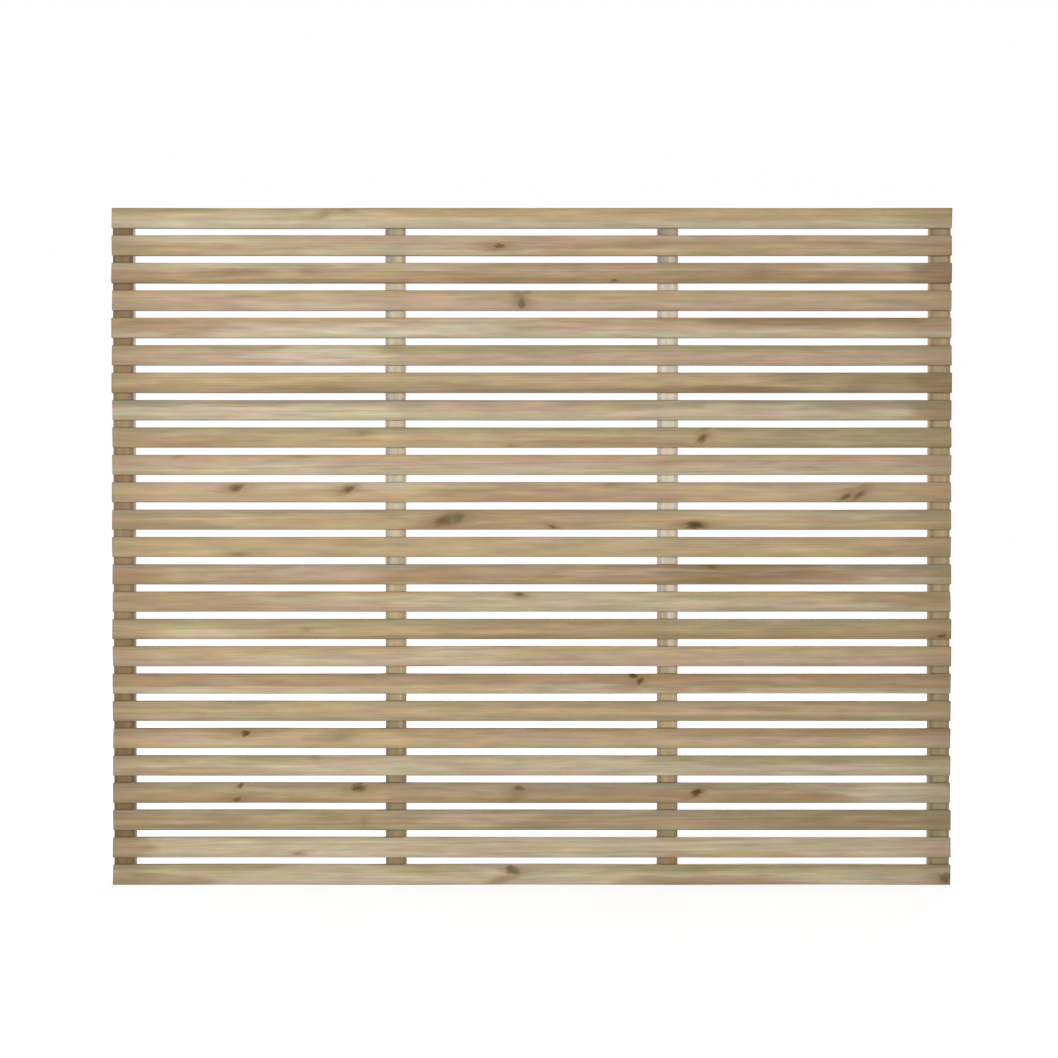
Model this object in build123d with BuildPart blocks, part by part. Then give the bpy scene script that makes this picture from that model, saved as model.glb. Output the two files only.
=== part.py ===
"""Slatted fence panel: level slats nailed across the front of upright battens.

Sizes are in millimetres. The origin is at the bottom centre of the panel, halfway through its depth.
+X runs along the slats, to the right of someone who faces the front. +Z is up. The slats are on the -Y side.
"""

import os
from math import copysign

from build123d import *

# Driving dimensions of the slats
SLAT_LENGTH = 1828.0
SLAT_HEIGHT = 44.0
SLAT_THICKNESS = 16.0
SLAT_EDGE_RADIUS = 3.0
SLAT_COUNT = 25
SLAT_GAP = 15.6

# Driving dimensions of the battens, named from left to right as the front is faced
BATTEN_NAMES = ["left_end_batten", "left_middle_batten", "right_middle_batten", "right_end_batten"]
BATTEN_WIDTH = 44.0
BATTEN_DEPTH = 28.0
BATTEN_EDGE_RADIUS = 2.0

# Driving dimensions of the finish nails, whose wire and heads are flat-sided
NAIL_WIRE_WIDTH = 1.6
NAIL_WIRE_HEIGHT = 1.4
NAIL_HEAD_WIDTH = 2.8
NAIL_HEAD_THICKNESS = 1.2
NAIL_POINT_LENGTH = 4.0
NAIL_SINK = 0.8  # from the slat's face down to the driven head
NAIL_COVER = 5.2  # wood left between the nail's point and the batten's back
NAIL_CLEARANCE = 0.05  # on each side of the wire and the head
NAIL_FROM_SLAT_EDGE = 11.5
NAIL_FROM_BATTEN_SIDE = 11.5

# Sizes and places that follow from the driving dimensions
PANEL_DEPTH = SLAT_THICKNESS + BATTEN_DEPTH
SLAT_PITCH = SLAT_HEIGHT + SLAT_GAP
PANEL_HEIGHT = SLAT_PITCH * (SLAT_COUNT - 1) + SLAT_HEIGHT
BATTEN_COUNT = len(BATTEN_NAMES)
BATTEN_PITCH = (SLAT_LENGTH - BATTEN_WIDTH) / (BATTEN_COUNT - 1)
NAIL_LENGTH = PANEL_DEPTH - NAIL_SINK - NAIL_COVER

FRONT = Plane.XZ.offset(PANEL_DEPTH / 2)
SEAT = FRONT.offset(-SLAT_THICKNESS)  # where the slats' backs meet the battens' fronts
UNDERSIDE = Plane.XY

SLAT_HEIGHTS_UP = [SLAT_HEIGHT / 2 + SLAT_PITCH * step for step in reversed(range(SLAT_COUNT))]
BATTEN_PLACES = [(BATTEN_WIDTH - SLAT_LENGTH) / 2 + BATTEN_PITCH * step for step in range(BATTEN_COUNT)]


def nail_places(crossings):
    """Two nails on a diagonal at each crossing of a slat and a batten, as points across and up the front.

    The lower nail is the one nearer the panel's middle, so the two halves of the panel mirror each other.
    """
    across = BATTEN_WIDTH / 2 - NAIL_FROM_BATTEN_SIDE
    up = SLAT_HEIGHT / 2 - NAIL_FROM_SLAT_EDGE
    pair = (-1, 1)
    return [(x + copysign(side * across, side * x), z + side * up) for x, z in crossings for side in pair]


def make_slat(height_up):
    """A planed slat with rounded long edges, a sunk seat for each nail's head and a hole for its wire."""
    places = nail_places([(x, height_up) for x in BATTEN_PLACES])
    head_depth = NAIL_SINK + NAIL_HEAD_THICKNESS
    with BuildPart() as slat:
        with BuildSketch(Plane.YZ.offset(-SLAT_LENGTH / 2)):
            with Locations(((SLAT_THICKNESS - PANEL_DEPTH) / 2, height_up)):
                RectangleRounded(SLAT_THICKNESS, SLAT_HEIGHT, SLAT_EDGE_RADIUS)
        extrude(amount=SLAT_LENGTH)
        with BuildSketch(FRONT):
            with Locations(*places):
                Rectangle(NAIL_HEAD_WIDTH + 2 * NAIL_CLEARANCE, NAIL_WIRE_HEIGHT + 2 * NAIL_CLEARANCE)
        extrude(amount=-head_depth, mode=Mode.SUBTRACT)
        with BuildSketch(FRONT):
            with Locations(*places):
                Rectangle(NAIL_WIRE_WIDTH + 2 * NAIL_CLEARANCE, NAIL_WIRE_HEIGHT + 2 * NAIL_CLEARANCE)
        extrude(amount=-SLAT_THICKNESS, mode=Mode.SUBTRACT)
    return slat


def make_batten(place_across):
    """An upright batten as tall as the panel, with rounded long edges and a blind hole for each nail."""
    places = nail_places([(place_across, z) for z in SLAT_HEIGHTS_UP])
    with BuildPart() as batten:
        with BuildSketch(UNDERSIDE):
            with Locations((place_across, (PANEL_DEPTH - BATTEN_DEPTH) / 2)):
                RectangleRounded(BATTEN_WIDTH, BATTEN_DEPTH, BATTEN_EDGE_RADIUS)
        extrude(amount=PANEL_HEIGHT)
        with BuildSketch(SEAT):
            with Locations(*places):
                Rectangle(NAIL_WIRE_WIDTH + 2 * NAIL_CLEARANCE, NAIL_WIRE_HEIGHT + 2 * NAIL_CLEARANCE)
        extrude(amount=-(BATTEN_DEPTH - NAIL_COVER + NAIL_CLEARANCE), mode=Mode.SUBTRACT)
    return batten


def make_nails():
    """Every finish nail, driven from the front through a slat and into a batten, with a chisel point."""
    half_height = NAIL_WIRE_HEIGHT / 2
    shoulder = NAIL_LENGTH - NAIL_POINT_LENGTH
    with BuildPart() as nail:
        with BuildSketch(Plane.YZ):
            with BuildLine():
                Polyline(
                    (0, half_height),
                    (shoulder, half_height),
                    (NAIL_LENGTH, 0),
                    (shoulder, -half_height),
                    (0, -half_height),
                    close=True,
                )
            make_face()
        extrude(amount=NAIL_WIRE_WIDTH / 2, both=True)
        with BuildSketch(Plane.XZ):
            Rectangle(NAIL_HEAD_WIDTH, NAIL_WIRE_HEIGHT)
        extrude(amount=-NAIL_HEAD_THICKNESS)

    crossings = [(x, z) for x in BATTEN_PLACES for z in SLAT_HEIGHTS_UP]
    driven_head = NAIL_SINK - PANEL_DEPTH / 2
    with BuildPart() as nails:
        with Locations(*[(x, driven_head, z) for x, z in nail_places(crossings)]):
            add(nail.part)
    return nails


def save(piece, name):
    """Labels a finished piece and writes its STEP file."""
    piece.part.label = name
    export_step(piece.part, f"parts/{name}.step")


os.makedirs("parts", exist_ok=True)

# The slats are numbered from the top down
for number, height_up in enumerate(SLAT_HEIGHTS_UP, start=1):
    save(make_slat(height_up), f"slat_{number:02d}")

for name, place_across in zip(BATTEN_NAMES, BATTEN_PLACES):
    save(make_batten(place_across), name)

save(make_nails(), "finish_nails")
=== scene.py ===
"""Looks of a slatted fence panel: planed slats, upright battens, sunk nails and a plain pale stage.

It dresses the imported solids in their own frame, in metres: +X runs along the slats, +Z is up and the slats
face -Y. Each board is modelled again with the small faults of real timber and gets a finish of its own.
"""

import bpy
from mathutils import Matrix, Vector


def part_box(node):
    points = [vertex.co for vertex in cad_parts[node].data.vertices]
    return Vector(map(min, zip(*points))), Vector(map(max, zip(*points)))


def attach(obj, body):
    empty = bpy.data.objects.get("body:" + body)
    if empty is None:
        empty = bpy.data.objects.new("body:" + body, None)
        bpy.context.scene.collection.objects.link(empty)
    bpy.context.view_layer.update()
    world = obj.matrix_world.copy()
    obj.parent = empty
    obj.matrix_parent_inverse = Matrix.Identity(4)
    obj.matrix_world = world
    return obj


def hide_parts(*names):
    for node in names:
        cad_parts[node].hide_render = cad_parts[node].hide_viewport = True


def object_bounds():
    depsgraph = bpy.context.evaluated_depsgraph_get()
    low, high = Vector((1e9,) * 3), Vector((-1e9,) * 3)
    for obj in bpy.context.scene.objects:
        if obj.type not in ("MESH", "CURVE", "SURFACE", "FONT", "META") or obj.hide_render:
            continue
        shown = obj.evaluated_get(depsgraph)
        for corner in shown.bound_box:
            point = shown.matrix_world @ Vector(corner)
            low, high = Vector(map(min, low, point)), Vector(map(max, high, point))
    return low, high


bl_info = {
    "name": "Slatted Fence Panel",
    "version": (1, 0, 0),
    "blender": (4, 5, 0),
    "location": "3D View > Sidebar > Fence",
    "description": "Models the boards of a fence panel and finishes them as treated softwood",
    "category": "Object",
}

from collections import namedtuple
from math import cos, pi, radians, sin
from random import Random

import bmesh
import bpy
from bpy.props import FloatProperty, FloatVectorProperty, PointerProperty
from mathutils import Vector

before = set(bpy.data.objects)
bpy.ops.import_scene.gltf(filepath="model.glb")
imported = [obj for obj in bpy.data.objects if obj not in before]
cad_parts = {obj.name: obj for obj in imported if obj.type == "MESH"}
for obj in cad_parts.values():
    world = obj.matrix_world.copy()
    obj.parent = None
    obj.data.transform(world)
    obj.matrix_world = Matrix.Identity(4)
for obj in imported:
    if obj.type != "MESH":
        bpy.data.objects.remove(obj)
CAD_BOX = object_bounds()
BODY = "root"
MM = 0.001

# The axes of the panel. In a board's own frame, the first one runs along the board
ACROSS, THROUGH, UP = 0, 1, 2

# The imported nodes: the slats are numbered from the top down, and the battens go from left to right
NAILS = "finish_nails"
SLATS = sorted(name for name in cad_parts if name.startswith("slat_"))
UNSORTED_BATTENS = [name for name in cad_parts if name.endswith("_batten")]
BATTENS = sorted(UNSORTED_BATTENS, key=lambda name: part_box(name)[0].x)
BATTEN_MIDDLES = [sum(corner.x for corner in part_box(name)) / 2 for name in BATTENS]

# Each board's timber: the tones of the upper, middle and lower part of a slat's face, or of a batten's
# length, and how much rosy and green colour runs through it in streaks
Timber = namedtuple("Timber", "upper middle lower rosy green")

SLAT_TIMBERS = [
    Timber("honey", "honey", "cream", 0.3, 0.3),
    Timber("rosy", "brown", "honey", 0.5, 0.3),
    Timber("cream", "brown", "brown", 0.3, 0.3),
    Timber("honey", "rosy", "rosy", 0.5, 0.4),
    Timber("honey", "rosy", "cream", 0.2, 0.2),
    Timber("olive", "rosy", "rosy", 0.4, 0.2),
    Timber("honey", "honey", "drab", 0.3, 0.3),
    Timber("grey", "cream", "cream", 0.5, 0.2),
    Timber("olive", "honey", "honey", 0.4, 0.5),
    Timber("honey", "rosy", "cream", 0.5, 0.3),
    Timber("rosy", "honey", "honey", 0.5, 0.2),
    Timber("grey", "honey", "honey", 0.4, 0.4),
    Timber("honey", "honey", "honey", 0.4, 0.4),
    Timber("grey", "brown", "brown", 0.6, 0.2),
    Timber("honey", "cream", "rosy", 0.3, 0.5),
    Timber("olive", "honey", "drab", 0.3, 0.5),
    Timber("honey", "rosy", "rosy", 0.4, 0.3),
    Timber("brown", "brown", "cream", 0.4, 0.2),
    Timber("olive", "honey", "olive", 0.6, 0.2),
    Timber("brown", "rosy", "honey", 0.5, 0.2),
    Timber("olive", "cream", "cream", 0.5, 0.3),
    Timber("grey", "brown", "brown", 0.4, 0.4),
    Timber("grey", "brown", "olive", 0.4, 0.5),
    Timber("cream", "cream", "cream", 0.5, 0.3),
    Timber("olive", "cream", "cream", 0.3, 0.4),
]

BATTEN_TIMBERS = [
    Timber("umber", "umber", "walnut", 0.1, 0.1),
    Timber("bone", "bone", "drab", 0.1, 0.1),
    Timber("chalk", "chalk", "honey", 0.1, 0.1),
    Timber("honey", "honey", "olive", 0.2, 0.6),
]

# Patches of another tone on a board, in millimetres along and across it from its middle: a slat's run from
# left to right and upwards, and a batten's run upwards and from right to left
Patch = namedtuple("Patch", "along across half_length half_width tone")

BATTEN_PATCHES = [
    [
        Patch(720, 0, 150, 40, "walnut"),
        Patch(290, 0, 110, 40, "drab"),
        Patch(268, 0, 40, 40, "brown"),
        Patch(-40, 0, 150, 40, "drab"),
    ],
    [Patch(730, 0, 100, 40, "grey"), Patch(-190, 0, 150, 40, "honey")],
    [Patch(730, 0, 120, 40, "grey"), Patch(-650, 0, 150, 40, "drab")],
    [Patch(730, 0, 70, 40, "drab")],
]

# A slat's patches, listed by its number
SLAT_PATCHES = {
    1: [
        Patch(-620, 0, 320, 16, "cream"),
        Patch(-780, 18, 170, 8, "olive"),
        Patch(-760, -14, 220, 12, "bone"),
    ],
    2: [Patch(-720, 14, 180, 12, "cream"), Patch(-330, -12, 290, 14, "cream")],
    3: [
        Patch(150, 14, 480, 10, "brown"),
        Patch(-450, -4, 170, 12, "honey"),
        Patch(890, 2, 60, 40, "umber"),
    ],
    4: [Patch(-450, -14, 170, 11, "cream")],
    5: [
        Patch(-780, 4, 130, 20, "brown"),
        Patch(620, 16, 340, 9, "umber"),
        Patch(-150, 10, 170, 14, "cream"),
        Patch(-330, -6, 280, 15, "bone"),
    ],
    6: [Patch(-450, 0, 150, 22, "bone")],
    7: [
        Patch(790, 0, 240, 40, "drab"),
        Patch(-760, -14, 150, 10, "brown"),
        Patch(420, -14, 170, 10, "umber"),
        Patch(890, 0, 60, 40, "umber"),
    ],
    8: [
        Patch(-620, -10, 380, 18, "bone"),
        Patch(300, 16, 400, 8, "olive"),
        Patch(460, 0, 190, 12, "cream"),
        Patch(-30, 6, 270, 14, "rosy"),
        Patch(890, 0, 60, 40, "drab"),
    ],
    9: [
        Patch(-730, -8, 160, 16, "brown"),
        Patch(170, -10, 150, 14, "brown"),
        Patch(680, 0, 260, 40, "olive"),
    ],
    10: [Patch(-450, -6, 180, 16, "cream")],
    11: [Patch(-300, 14, 220, 8, "cream"), Patch(40, -4, 290, 17, "brown")],
    12: [
        Patch(-60, 4, 250, 24, "brown"),
        Patch(560, 12, 260, 10, "cream"),
        Patch(-780, -14, 140, 11, "drab"),
    ],
    13: [Patch(810, -10, 150, 15, "brown"), Patch(150, 14, 180, 9, "cream")],
    14: [
        Patch(420, 4, 240, 24, "umber"),
        Patch(-450, 0, 130, 16, "rosy"),
        Patch(790, -13, 130, 9, "cream"),
        Patch(20, 3, 280, 18, "brown"),
    ],
    15: [
        Patch(60, 0, 260, 40, "cream"),
        Patch(-740, 0, 160, 40, "brown"),
        Patch(820, 10, 120, 20, "brown"),
    ],
    16: [
        Patch(-720, -12, 150, 12, "cream"),
        Patch(640, -12, 300, 12, "brown"),
        Patch(30, 6, 260, 13, "brown"),
    ],
    17: [Patch(-170, 2, 120, 30, "cream"), Patch(-460, -12, 170, 13, "cream")],
    18: [
        Patch(480, 6, 420, 20, "brown"),
        Patch(-600, -14, 300, 8, "cream"),
        Patch(-140, -14, 170, 11, "honey"),
    ],
    19: [Patch(400, 13, 480, 11, "brown"), Patch(-450, 12, 180, 12, "honey")],
    20: [Patch(-420, 4, 280, 18, "honey")],
    21: [
        Patch(-330, 0, 160, 40, "cream"),
        Patch(20, 12, 260, 12, "cream"),
        Patch(-740, -12, 150, 10, "brown"),
    ],
    22: [Patch(800, -4, 160, 40, "bone"), Patch(-420, 0, 280, 10, "honey")],
    23: [
        Patch(700, 0, 260, 40, "drab"),
        Patch(-450, 8, 160, 14, "honey"),
        Patch(-130, 2, 140, 14, "rosy"),
        Patch(-780, -14, 130, 10, "drab"),
    ],
    24: [
        Patch(-450, -14, 180, 12, "bone"),
        Patch(460, -14, 170, 10, "honey"),
        Patch(-890, 0, 70, 40, "brown"),
    ],
    25: [
        Patch(-10, 8, 220, 16, "cream"),
        Patch(400, -13, 180, 12, "brown"),
        Patch(-820, -12, 120, 15, "drab"),
        Patch(-440, 12, 190, 13, "cream"),
    ],
}

# Knots on a slat's face, in millimetres from its middle and in degrees, listed by the slat's number. Each
# lies over the ones before it
Knot = namedtuple("Knot", "across up half_length half_height slant kind")

SLAT_KNOTS = {
    1: [Knot(-451, 9, 18, 9, 20, "faint"), Knot(-403, 17, 9, 4, 0, "faint")],
    2: [Knot(-82, -3, 22, 8, 0, "faint"), Knot(-70, -1, 12, 6, 12, "brown")],
    3: [
        Knot(498, -2, 22, 10, 10, "faint"),
        Knot(-84, -17, 14, 5, 0, "faint"),
        Knot(-652, 2, 24, 8, 0, "faint"),
        Knot(-613, 3, 20, 7, 0, "stain"),
        Knot(-483, 4, 24, 9, 0, "stain"),
        Knot(180, -17, 8, 3, 0, "brown"),
    ],
    4: [
        Knot(-26, 4, 16, 14, 0, "stain"),
        Knot(-22, -6, 8, 11, -10, "green"),
        Knot(-30, 12, 10, 6, -30, "stain"),
        Knot(-9, 18, 9, 4, 20, "faint"),
    ],
    7: [Knot(-425, -10, 24, 8, 0, "stain"), Knot(-455, -12, 12, 6, 0, "faint")],
    9: [
        Knot(-40, -17, 12, 4, 0, "faint"),
        Knot(374, 2, 16, 12, 0, "faint"),
        Knot(378, 18, 9, 4, 20, "stain"),
        Knot(-368, 11, 11, 7, 0, "stain"),
        Knot(372, -2, 11, 7, 40, "brown"),
    ],
    10: [Knot(-500, 19, 14, 3, 0, "faint"), Knot(-771, 18, 10, 4, 0, "faint")],
    11: [
        Knot(-648, 9, 19, 10, 5, "faint"),
        Knot(-403, 6, 18, 9, 10, "faint"),
        Knot(172, 16, 20, 6, 0, "faint"),
        Knot(700, -3, 34, 14, 10, "faint"),
        Knot(-643, 10, 13, 8, 10, "brown"),
        Knot(-399, 7, 12, 7, 25, "brown"),
        Knot(683, -10, 12, 5, 32, "brown"),
        Knot(712, -6, 14, 6, 38, "brown"),
        Knot(722, 14, 8, 4, 20, "faint"),
    ],
    12: [
        Knot(-180, -1, 36, 14, 8, "stain"),
        Knot(330, -12, 26, 7, 0, "stain"),
        Knot(45, -13, 14, 6, -15, "stain"),
        Knot(-188, -2, 19, 11, 15, "dark"),
        Knot(-164, 5, 15, 11, 15, "green"),
        Knot(45, -15, 7, 3, -15, "brown"),
        Knot(359, -12, 20, 8, 0, "dark"),
    ],
    13: [Knot(-639, -16, 20, 5, 0, "stain"), Knot(-639, -17, 10, 4, 0, "stain")],
    14: [Knot(470, 12, 60, 7, 0, "faint"), Knot(390, 17, 20, 5, -8, "brown")],
    15: [Knot(-27, 14, 18, 7, 0, "stain"), Knot(-27, 17, 9, 5, 0, "green")],
    16: [Knot(-491, 0, 6, 4, 0, "faint"), Knot(893, -15, 9, 4.5, 10, "dark")],
    18: [
        Knot(-356, 18, 18, 5, 0, "faint"),
        Knot(230, 12, 24, 11, 0, "faint"),
        Knot(221, 18, 10, 5, -15, "dark"),
        Knot(236, 6, 8, 6, 30, "dark"),
    ],
    20: [
        Knot(-640, 15, 30, 8, 0, "stain"),
        Knot(-420, 4, 34, 12, 15, "stain"),
        Knot(-623, 11, 9, 7, 0, "dark"),
    ],
    21: [Knot(-470, 18, 12, 4, 0, "faint")],
    22: [
        Knot(-639, -10, 26, 10, 0, "stain"),
        Knot(-377, 11, 36, 10, 0, "stain"),
        Knot(-35, -4, 20, 14, 20, "stain"),
        Knot(-42, -15, 13, 5, 15, "stain"),
        Knot(-635, 16, 7, 5, 30, "brown"),
        Knot(-649, -14, 18, 6, 0, "stain"),
        Knot(-642, -14, 8, 5, 20, "brown"),
        Knot(-377, 12, 15, 8, 8, "dark"),
        Knot(-28, 11, 12, 6, 0, "brown"),
        Knot(361, 2, 12, 7, 25, "dark"),
    ],
    23: [
        Knot(-430, 4, 38, 11, 0, "stain"),
        Knot(-365, 0, 9, 12, 0, "stain"),
        Knot(2, -12, 38, 8, 0, "stain"),
    ],
    24: [Knot(-508, -12, 12, 6, 10, "stain")],
    25: [
        Knot(-60, -8, 30, 9, 20, "faint"),
        Knot(902, -8, 12, 12, 0, "brown"),
        Knot(-42, 11, 14, 9, -12, "green"),
    ],
}


# Sizes and colours that a user would change


def screen_level(value):
    """A screen colour's level, from 0 to 255, as the linear level that a shader takes."""
    share = value / 255
    return share / 12.92 if share <= 0.04045 else ((share + 0.055) / 1.055) ** 2.4


def colour(name, description, red, green, blue):
    """A colour property whose default is written as it looks on a screen."""
    default = [screen_level(level) for level in (red, green, blue)] + [1.0]
    return FloatVectorProperty(
        name=name, description=description, default=default, size=4, subtype="COLOR", min=0.0, max=1.0
    )


def length(name, description, millimetres):
    """A length property whose default is written in millimetres."""
    metres = millimetres * MM
    return FloatProperty(name=name, description=description, default=metres, unit="LENGTH", min=0.0)


def power(name, description, watts):
    """A lamp's power as a property."""
    return FloatProperty(name=name, description=description, default=watts, subtype="POWER", min=0.0)


def whiteness(name, description, share):
    """A property that goes from no white to full white."""
    return FloatProperty(name=name, description=description, default=share, min=0.0, max=1.0)


class FenceColours(bpy.types.PropertyGroup):
    """Tones of the treated softwood and its knots, of the painted shade on its rounded edges, and of the
    nails.
    """

    bone: colour("Bone", "Bleached sapwood", 211, 200, 173)
    chalk: colour("Chalk", "The palest sapwood", 232, 222, 202)
    cream: colour("Cream", "Pale sapwood", 201, 187, 157)
    honey: colour("Honey", "Warm sapwood", 194, 170, 130)
    rosy: colour("Rosy", "Pinkish wood", 193, 167, 142)
    olive: colour("Olive", "Wood that took up much of the green preservative", 168, 156, 119)
    brown: colour("Brown", "Heartwood", 172, 145, 110)
    grey: colour("Grey", "Dull wood", 163, 150, 124)
    drab: colour("Drab", "Dull brown wood", 157, 138, 103)
    umber: colour("Umber", "Dark heartwood", 145, 119, 84)
    walnut: colour("Walnut", "The darkest heartwood", 128, 104, 70)
    late_wood: colour("Late Wood", "What the year rings' dark edges take from the tone", 218, 192, 158)
    # Painted shade: what the rounded long edges of the boards take from the tone, standing in for the shade
    # on them
    edge_wood: colour("Edge Wood", "What the rounded edges take from the tone", 184, 187, 188)
    knot_brown: colour("Brown Knot", "Wood of a sound knot", 124, 97, 60)
    knot_dark: colour("Dark Knot", "Wood of a dead knot", 102, 82, 46)
    knot_green: colour("Green Knot", "Wood of a knot stained by the preservative", 107, 102, 74)
    knot_faint: colour("Faint Knot", "Smear of a knot just under the face", 152, 122, 86)
    knot_stain: colour("Knot Stain", "Greenish stain beside a knot", 138, 126, 86)
    knot_core: colour("Knot Core", "What the middle of a knot takes from its wood", 178, 166, 142)
    end_grain: colour("End Grain", "What a sawn end takes from the tone", 226, 218, 200)
    zinc: colour("Zinc", "Dull plating of the nails", 150, 150, 146)


class FenceGrain(bpy.types.PropertyGroup):
    """Scale of the timber's grain."""

    ring_width: length("Ring Width", "Wood that the log grew in one year", 3.2)
    ring_wander: length("Ring Wander", "How far a year ring strays from a circle", 5.0)
    tone_length: length("Tone Length", "How far a broad tone runs along a board", 700.0)
    streak_length: length("Streak Length", "How far a streak of colour runs along a board", 260.0)
    streak_width: length("Streak Width", "How wide a streak of colour is", 11.0)
    mottle_length: length("Mottle Length", "How far a mottle runs along a board", 95.0)
    mottle_width: length("Mottle Width", "How wide a mottle is", 12.0)
    fibre_length: length("Fibre Length", "How far the finest lines run", 40.0)
    fibre_width: length("Fibre Width", "How wide the finest lines are", 0.7)
    fleck_length: length("Fleck Length", "How long a dark resin fleck is", 14.0)
    fleck_width: length("Fleck Width", "How wide a dark resin fleck is", 0.6)
    planing: length("Planing", "Distance between the marks that the planer's knives left", 5.0)
    relief: length("Relief", "Height of the grain over the planed face", 0.12)


class FenceBoards(bpy.types.PropertyGroup):
    """Shape of the boards and their small faults."""

    slat_edge: length("Slat Edge", "Radius of a slat's long edges", 3.0)
    batten_edge: length("Batten Edge", "Radius of a batten's long edges", 2.0)
    rim: length("Rim", "How far the rim of a sawn end is eased", 1.0)
    trim: length("Trim", "How much shorter than the panel a slat's end may be sawn", 1.4)
    skew: length("Skew", "How far a sawn end may be out of square", 0.6)
    bow: length("Bow", "How far a slat may bend between two battens", 0.8)
    cut: length("Cut", "Longest stretch of a board without an edge across it", 40.0)
    nail_room: length("Nail Room", "Clearance on each side of a nail", 0.05)


class FenceStage(bpy.types.PropertyGroup):
    """Camera, lamps and floor."""

    camera_place: FloatVectorProperty(
        name="Camera Place",
        description="Where the camera stands",
        default=(-0.0059, -3.822, 0.8187),
        unit="LENGTH",
    )
    camera_dip: FloatProperty(
        name="Camera Dip",
        description="How far the camera looks down",
        default=radians(0.636),
        subtype="ANGLE",
    )
    lens: FloatProperty(name="Lens", description="Focal length in millimetres", default=59.43, min=1.0)
    key_watts: power("Key", "Power of the main lamp", 149.0)
    fill_watts: power("Fill", "Power of the front lamp", 60.0)
    back_watts: power("Back", "Power of the rear lamp", 200.0)
    side_watts: power("Side", "Power of each side lamp", 40.0)
    ambient: FloatProperty(name="Ambient", description="Light from all round", default=0.3, min=0.0)
    near_glow: whiteness("Near Glow", "White that the floor shows in shadow by the panel", 0.73)
    far_glow: whiteness("Far Glow", "White that the floor shows far off", 0.92)


# Shader nodes

# Sockets of the nodes that mix colours and make noise, by their numbers because some share a name
MIX_SHARE, MIX_FIRST, MIX_SECOND = 0, 6, 7
MIX_RESULT = 2
NOISE_LEVEL, NOISE_COLOUR = 0, 1


class Wiring:
    """Adds nodes to one node tree and joins them, so that a finish reads as a list of steps."""

    def __init__(self, tree):
        self.tree = tree

    def put(self, socket, value):
        """Joins a socket to another one, or sets its constant."""
        if isinstance(value, bpy.types.NodeSocket):
            self.tree.links.new(value, socket)
        else:
            socket.default_value = value

    def node(self, kind, inputs=(), **settings):
        """A new node, with its inputs given by name or in order."""
        made = self.tree.nodes.new(kind)
        for name, value in settings.items():
            setattr(made, name, value)
        pairs = inputs.items() if isinstance(inputs, dict) else enumerate(inputs)
        for name, value in pairs:
            self.put(made.inputs[name], value)
        return made

    def math(self, operation, *values):
        """A sum on numbers."""
        return self.node("ShaderNodeMath", values, operation=operation).outputs[0]

    def vector(self, operation, *values):
        """A sum on places."""
        return self.node("ShaderNodeVectorMath", values, operation=operation).outputs[0]

    def parts(self, place):
        """A place's three numbers."""
        return self.node("ShaderNodeSeparateXYZ", [place]).outputs

    def join(self, along, through, across):
        """A place made of three numbers."""
        return self.node("ShaderNodeCombineXYZ", [along, through, across]).outputs[0]

    def distance(self, place):
        """How far a place lies from the origin."""
        return self.node("ShaderNodeVectorMath", [place], operation="LENGTH").outputs["Value"]

    def fade(self, value, start, end, low=0.0, high=1.0):
        """A smooth step from low at start to high at end."""
        limits = [value, start, end, low, high]
        return self.node("ShaderNodeMapRange", limits, interpolation_type="SMOOTHSTEP").outputs[0]

    def span(self, value, low, high):
        """A number from 0 to 1 stretched to run from low to high."""
        return self.node("ShaderNodeMapRange", [value, 0.0, 1.0, low, high]).outputs[0]

    def mix(self, share, first, second, blend="MIX"):
        """Two colours mixed."""
        made = self.node("ShaderNodeMix", data_type="RGBA", blend_type=blend)
        self.put(made.inputs[MIX_SHARE], share)
        self.put(made.inputs[MIX_FIRST], first)
        self.put(made.inputs[MIX_SECOND], second)
        return made.outputs[MIX_RESULT]

    def layer(self, mask, strength, under, over, blend="MIX"):
        """A colour laid over another one where a mask shows it, at some strength."""
        return self.mix(self.math("MULTIPLY", mask, strength), under, over, blend)

    def noise(self, place, waves, detail=2.0, output=NOISE_LEVEL):
        """Noise from 0 to 1, as a level or as a colour, with about one wave to each of three lengths."""
        settings = {"Vector": self.vector("DIVIDE", place, waves), "Scale": 1.0, "Detail": detail}
        return self.node("ShaderNodeTexNoise", settings).outputs[output]

    def group(self, tree, inputs):
        """A node group placed with its own values, as its outputs."""
        return self.node("ShaderNodeGroup", inputs, node_tree=tree).outputs


SOCKETS = {"value": "NodeSocketFloat", "place": "NodeSocketVector", "colour": "NodeSocketColor"}


def new_group(name, inputs, outputs):
    """An empty node group with its sockets, as its wiring, what it is given and what it puts out."""
    tree = bpy.data.node_groups.new(name, "ShaderNodeTree")
    for direction, sockets in (("INPUT", inputs), ("OUTPUT", outputs)):
        for socket, kind in sockets.items():
            tree.interface.new_socket(socket, in_out=direction, socket_type=SOCKETS[kind])
    wiring = Wiring(tree)
    given = wiring.node("NodeGroupInput").outputs
    result = wiring.node("NodeGroupOutput").inputs
    return wiring, given, result


# How a year ring strays: the lengths of its waves along, through and across a board, in metres, and their
# shares of the wander
WANDER_WAVES = (0.9, 0.12, 0.12)
RIPPLE_WAVES = (0.11, 0.028, 0.028)
RIPPLE_SHARE = 0.22
FLUTTER_WAVES = (0.022, 0.006, 0.006)
FLUTTER_SHARE = 0.06

# How the years differ: how often wide and narrow years take turns, how far that moves a ring, in ring
# widths, and how dark the weakest year's late wood is beside the strongest one's
RING_PACE = 0.45
RING_DRIFT = 0.7
WEAKEST_YEAR = 0.3

# Late wood within a year of 0 to 1: where it sets in and is full, and where it is gone and is still full
LATE_WOOD_START = (0.3, 0.9)
LATE_WOOD_END = (1.0, 0.93)

# Leaves out how far along the log a place is
OFF_AXIS = (0.0, 1.0, 1.0)


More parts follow.
